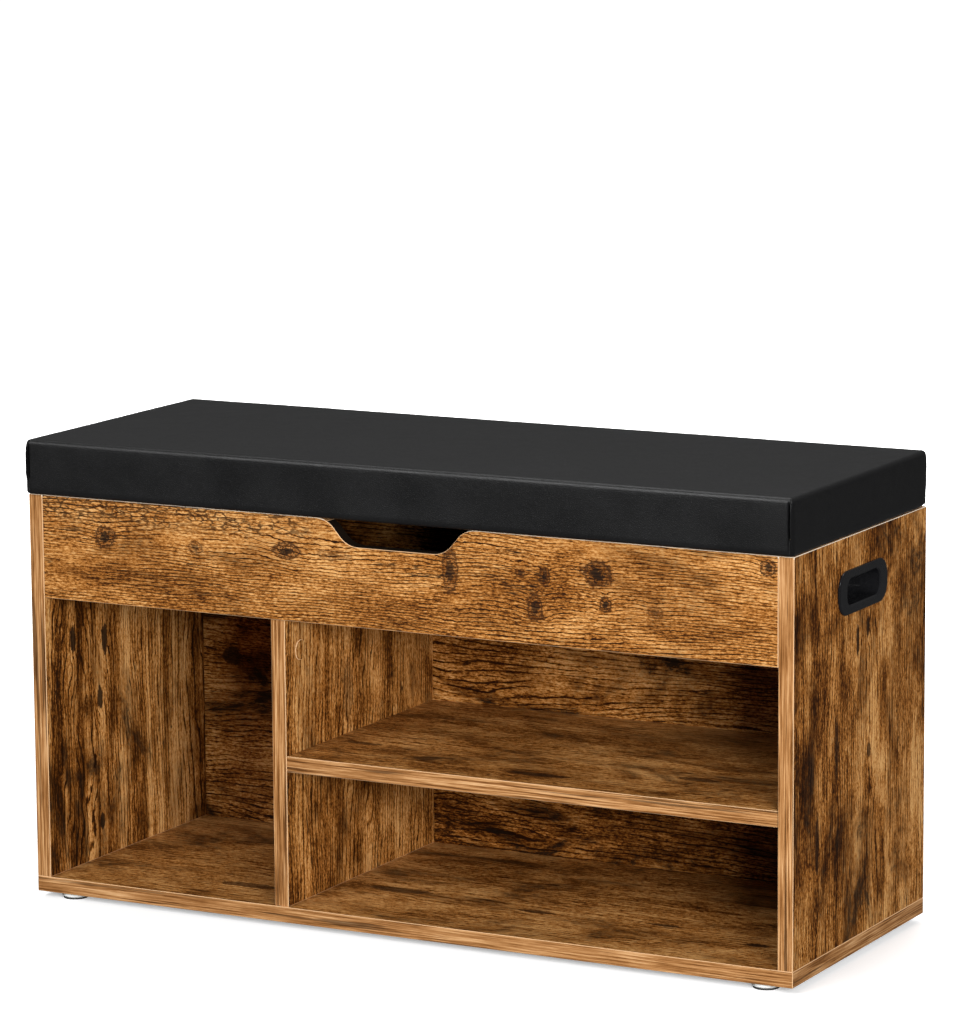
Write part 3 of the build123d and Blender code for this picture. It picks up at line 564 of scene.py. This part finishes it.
def cushionBlock(low, high, look):
    shape = bmesh.new()
    bmesh.ops.create_cube(shape, size=1.0)
    inset = look["inset"]
    size = [high[i] - low[i] - (inset if i == 2 else 2 * inset) for i in range(3)]
    middle = [(high[i] + low[i]) / 2 for i in range(3)]
    middle[2] -= inset / 2
    bmesh.ops.scale(shape, vec=size, verts=shape.verts)
    bmesh.ops.translate(shape, vec=middle, verts=shape.verts)
    top, under = middle[2] + size[2] / 2, middle[2] - size[2] / 2
    near = 1e-5

    def soften(edges, radius, segments):
        bmesh.ops.bevel(shape, geom=edges, offset=radius, offset_type="OFFSET", segments=segments,
                        profile=0.5, affect="EDGES", material=-1, clamp_overlap=True)

    soften(edgesWhere(shape, lambda a, b: abs(a.z - b.z) > near), look["cornerRound"], 5)
    for height, radius, segments in ((top, look["topRound"], 6), (under, look["underRound"], 2)):
        level = edgesWhere(shape, lambda a, b: abs(a.z - height) < near and abs(b.z - height) < near)
        soften(level, radius, segments)
    if "drop" in look:  # a rolled rim, and the hem's flat inside it
        shape.normal_update()
        for step, rise in ((look["rimWidth"], 0.0), (look["rimWidth"], look["drop"])):
            below = [face for face in shape.faces if face.normal.z < -0.9]
            flat = max(below, key=lambda face: face.calc_area())
            bmesh.ops.inset_region(shape, faces=[flat], thickness=step, use_even_offset=True)
            bmesh.ops.translate(shape, vec=(0, 0, rise), verts=flat.verts)
    reach = [[middle[i] - size[i] / 2, middle[i] + size[i] / 2] for i in range(3)]
    for axis, (start, end) in enumerate(reach):
        count = int((end - start) / look["grid"])
        cutAcross(shape, axis, [start + (end - start) * i / count for i in range(1, count)])
    bmesh.ops.recalc_face_normals(shape, faces=shape.faces)
    data = bpy.data.meshes.new("cushionBlock")
    shape.to_mesh(data)
    shape.free()
    return data


def linked(name, data):
    piece = bpy.data.objects.new(name, data)
    bpy.context.scene.collection.objects.link(piece)
    return piece


def applied(piece):  # the piece's mesh with its modifiers in it
    graph = bpy.context.evaluated_depsgraph_get()
    data = bpy.data.meshes.new_from_object(piece.evaluated_get(graph))
    piece.modifiers.clear()
    piece.data = data
    return piece


def upTo1(value):
    return min(1.0, max(0.0, value))


def swell(piece, under, top, look):  # a short pressure simulation, held at the hem and capped
    start = [vert.co.copy() for vert in piece.data.vertices]
    group = piece.vertex_groups.new(name="hem")
    for vert in piece.data.vertices:
        group.add([vert.index], 1.0 if vert.co.z < under + look["hold"] else 0.0, "REPLACE")
    cloth = piece.modifiers.new("cloth", "CLOTH")
    settings = cloth.settings
    settings.quality = 6
    settings.mass = 0.3
    settings.tension_stiffness = 12
    settings.compression_stiffness = 12
    settings.bending_stiffness = 1.2
    settings.use_pressure = True
    settings.uniform_pressure_force = look["pressure"]
    settings.vertex_group_mass = "hem"
    settings.effector_weights.gravity = 0
    for step in range(1, look["frames"] + 1):
        bpy.context.scene.frame_set(step)
    applied(piece)
    bpy.context.scene.frame_set(1)
    for vert, was in zip(piece.data.vertices, start):
        move = vert.co - was
        share = upTo1((was.z - top + look["capBand"]) / look["capBand"])
        cap = look["sideSwell"] + (look["topSwell"] - look["sideSwell"]) * share
        if move.length > cap:
            move *= cap / move.length
        if move.dot(vert.normal) < 0:  # the foam keeps it from sinking
            move *= look["sink"]
        vert.co = was + move


def cornerFolds(point, side, low, high, look):  # how far the four folded corner seams move a point
    move = Vector((0, 0, 0))
    for sideX, sideY in ((-1, -1), (-1, 1), (1, -1), (1, 1)):
        cornerX = high.x if sideX > 0 else low.x
        cornerY = high.y if sideY > 0 else low.y
        if abs(side.y) < 0.25 or side.y * sideY < 0 or abs(point.y - cornerY) > look["creaseReach"]:
            continue
        inward = (cornerX - point.x) * sideX - look["creaseFrom"]
        fade = upTo1((high.z - look["creaseTop"] - point.z) / 0.006)
        fade *= upTo1((point.z - low.z - 0.0005) / 0.003)
        fade *= 0.35 + 0.65 * upTo1((point.z - low.z - look["boardTop"]) / 0.003)  # shallow over the board
        groove = math.exp(-(inward / look["creaseWidth"]) ** 2)
        lip = math.exp(-((inward + look["lipFrom"]) / look["lipWidth"]) ** 2)
        move += Vector((0, -sideY, 0)) * look["creaseDepth"] * groove * fade
        move += Vector((0, sideY, 0)) * look["lipRise"] * lip * fade
    return move


def makeCushion(look):
    low, high = (Vector(corner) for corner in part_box("lid_cover"))
    low.z -= look["drop"]  # the skin rolls a little below the board before it turns in
    piece = linked("cushionCover", cushionBlock(low, high, look))
    swell(piece, low.z, high.z, look)

    shape = bmesh.new()
    shape.from_mesh(piece.data)
    for turn in range(look["smoothTurns"]):
        upper = [vert for vert in shape.verts if vert.co.z > low.z + look["smoothFrom"]]
        bmesh.ops.smooth_vert(shape, verts=upper, factor=0.5, use_axis_x=True, use_axis_y=True, use_axis_z=True)

    for end in (low.x, high.x):
        inward = 1 if end == low.x else -1
        cutAcross(shape, 0, [end + inward * i * look["fine"] for i in range(1, look["fineCuts"])])
    shape.normal_update()
    for vert in shape.verts:
        point = vert.co
        side = vert.normal
        # gentle unevenness of the skin, stronger near the top edges
        rim = math.exp(-((high.z - 0.010 - point.z) / 0.012) ** 2)
        slow = noise.noise(Vector((point.x * 9, point.y * 9, point.z * 30)))
        quick = noise.noise(Vector((point.x * 60, point.y * 60, point.z * 25)))
        move = side * (look["wrinkle"] * (1.2 * slow + 0.8 * rim * quick))
        move += cornerFolds(point, side, low, high, look)
        vert.co = point + move
    hem = low.z + look["drop"]
    for vert in shape.verts:  # the rear rim is flat, so that the hinges have room
        rim = upTo1((high.y - look["rearRoom"] - vert.co.y) / look["rearRoom"])
        vert.co.z = max(vert.co.z, hem - look["drop"] * rim)
    bmesh.ops.recalc_face_normals(shape, faces=shape.faces)
    for face in shape.faces:
        face.smooth = True
    shape.to_mesh(piece.data)
    shape.free()
    piece.data.materials.clear()
    piece.data.materials.append(leatherSkin)
    return piece


cover = makeCushion(cushion)
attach(cover, "lid")
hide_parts("lid_cover")
print("cushion made", len(cover.data.polygons), "faces")


def makeFoam(look):
    low, high = (Vector(corner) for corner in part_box("lid_foam"))
    piece = linked("foamPad", cushionBlock(low, high, look))
    piece.data.materials.append(creamFoam)
    for face in piece.data.polygons:
        face.use_smooth = True
    return piece


pad = makeFoam(foam)
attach(pad, "lid")
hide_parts("lid_foam")


# the floor glows white to the camera, less near the bench so that its shadow shows
floor = {"size": 40.0, "dark": (0.86, 0.86, 0.86), "light": (0.88, 0.88, 0.88), "roughness": 0.9, "shine": 0.1,
         "glowFrom": 0.55, "glowTo": 1.6, "nearGlow": 0.35, "farGlow": 1.0, "bounce": 0.07}
skyStrength = 0.12


def aimed(source, target):
    return (Vector(target) - Vector(source)).to_track_quat("-Z", "Y").to_euler()


def plainFloor():
    shape = bmesh.new()
    bmesh.ops.create_grid(shape, x_segments=1, y_segments=1, size=floor["size"])
    data = bpy.data.meshes.new("floor")
    shape.to_mesh(data)
    shape.free()
    piece = linked("floor", data)
    material, tree, shader = newMaterial("floorWhite")  # white to look at, duller to the bench
    place = put(tree, "ShaderNodeTexCoord").outputs["Object"]
    tone = ramp(tree, grit(tree, place, 3, 2), ((0.3, floor["dark"]), (0.7, floor["light"])))
    tree.links.new(tone, shader.inputs["Base Color"])
    away = put(tree, "ShaderNodeVectorMath", {0: place}, operation="LENGTH").outputs["Value"]
    glow = between(tree, away, floor["glowFrom"], floor["glowTo"], floor["nearGlow"], floor["farGlow"])
    shader.inputs["Emission Color"].default_value = (1, 1, 1, 1)
    tree.links.new(glow, shader.inputs["Emission Strength"])
    dull = put(tree, "ShaderNodeBsdfDiffuse", {"Color": grey(floor["bounce"])})
    seen = put(tree, "ShaderNodeLightPath").outputs["Is Camera Ray"]
    both = put(tree, "ShaderNodeMixShader", {0: seen, 1: dull.outputs[0], 2: shader.outputs[0]})
    tree.links.new(both.outputs[0], tree.nodes["Material Output"].inputs["Surface"])
    shader.inputs["Roughness"].default_value = floor["roughness"]
    shader.inputs["Specular IOR Level"].default_value = floor["shine"]
    data.materials.append(material)


plainFloor()
for name, look in lights.items():
    data = bpy.data.lights.new(name, "AREA")
    data.shape = "RECTANGLE"
    data.size, data.size_y = look["size"]
    data.energy = look["power"]
    lamp = bpy.data.objects.new(name, data)
    lamp.location = look["place"]
    lamp.visible_glossy = look.get("glossy", True)
    lamp.rotation_euler = aimed(look["place"], look["target"])
    bpy.context.scene.collection.objects.link(lamp)

world = bpy.data.worlds.new("studio")
world.use_nodes = True
sky = world.node_tree.nodes["Background"]
sky.inputs["Color"].default_value = (1.0, 1.0, 1.0, 1)
sky.inputs["Strength"].default_value = skyStrength
bpy.context.scene.world = world

view = bpy.data.objects.new("camera", bpy.data.cameras.new("camera"))
view.location = camera["place"]
view.rotation_euler = [math.radians(angle) for angle in camera["turn"]]
view.data.lens = camera["lens"]
view.data.sensor_width = 36
view.data.clip_end = 200
bpy.context.scene.collection.objects.link(view)
bpy.context.scene.camera = view
bpy.context.scene.view_settings.view_transform = "Standard"

print("camera, lights and floor ready")
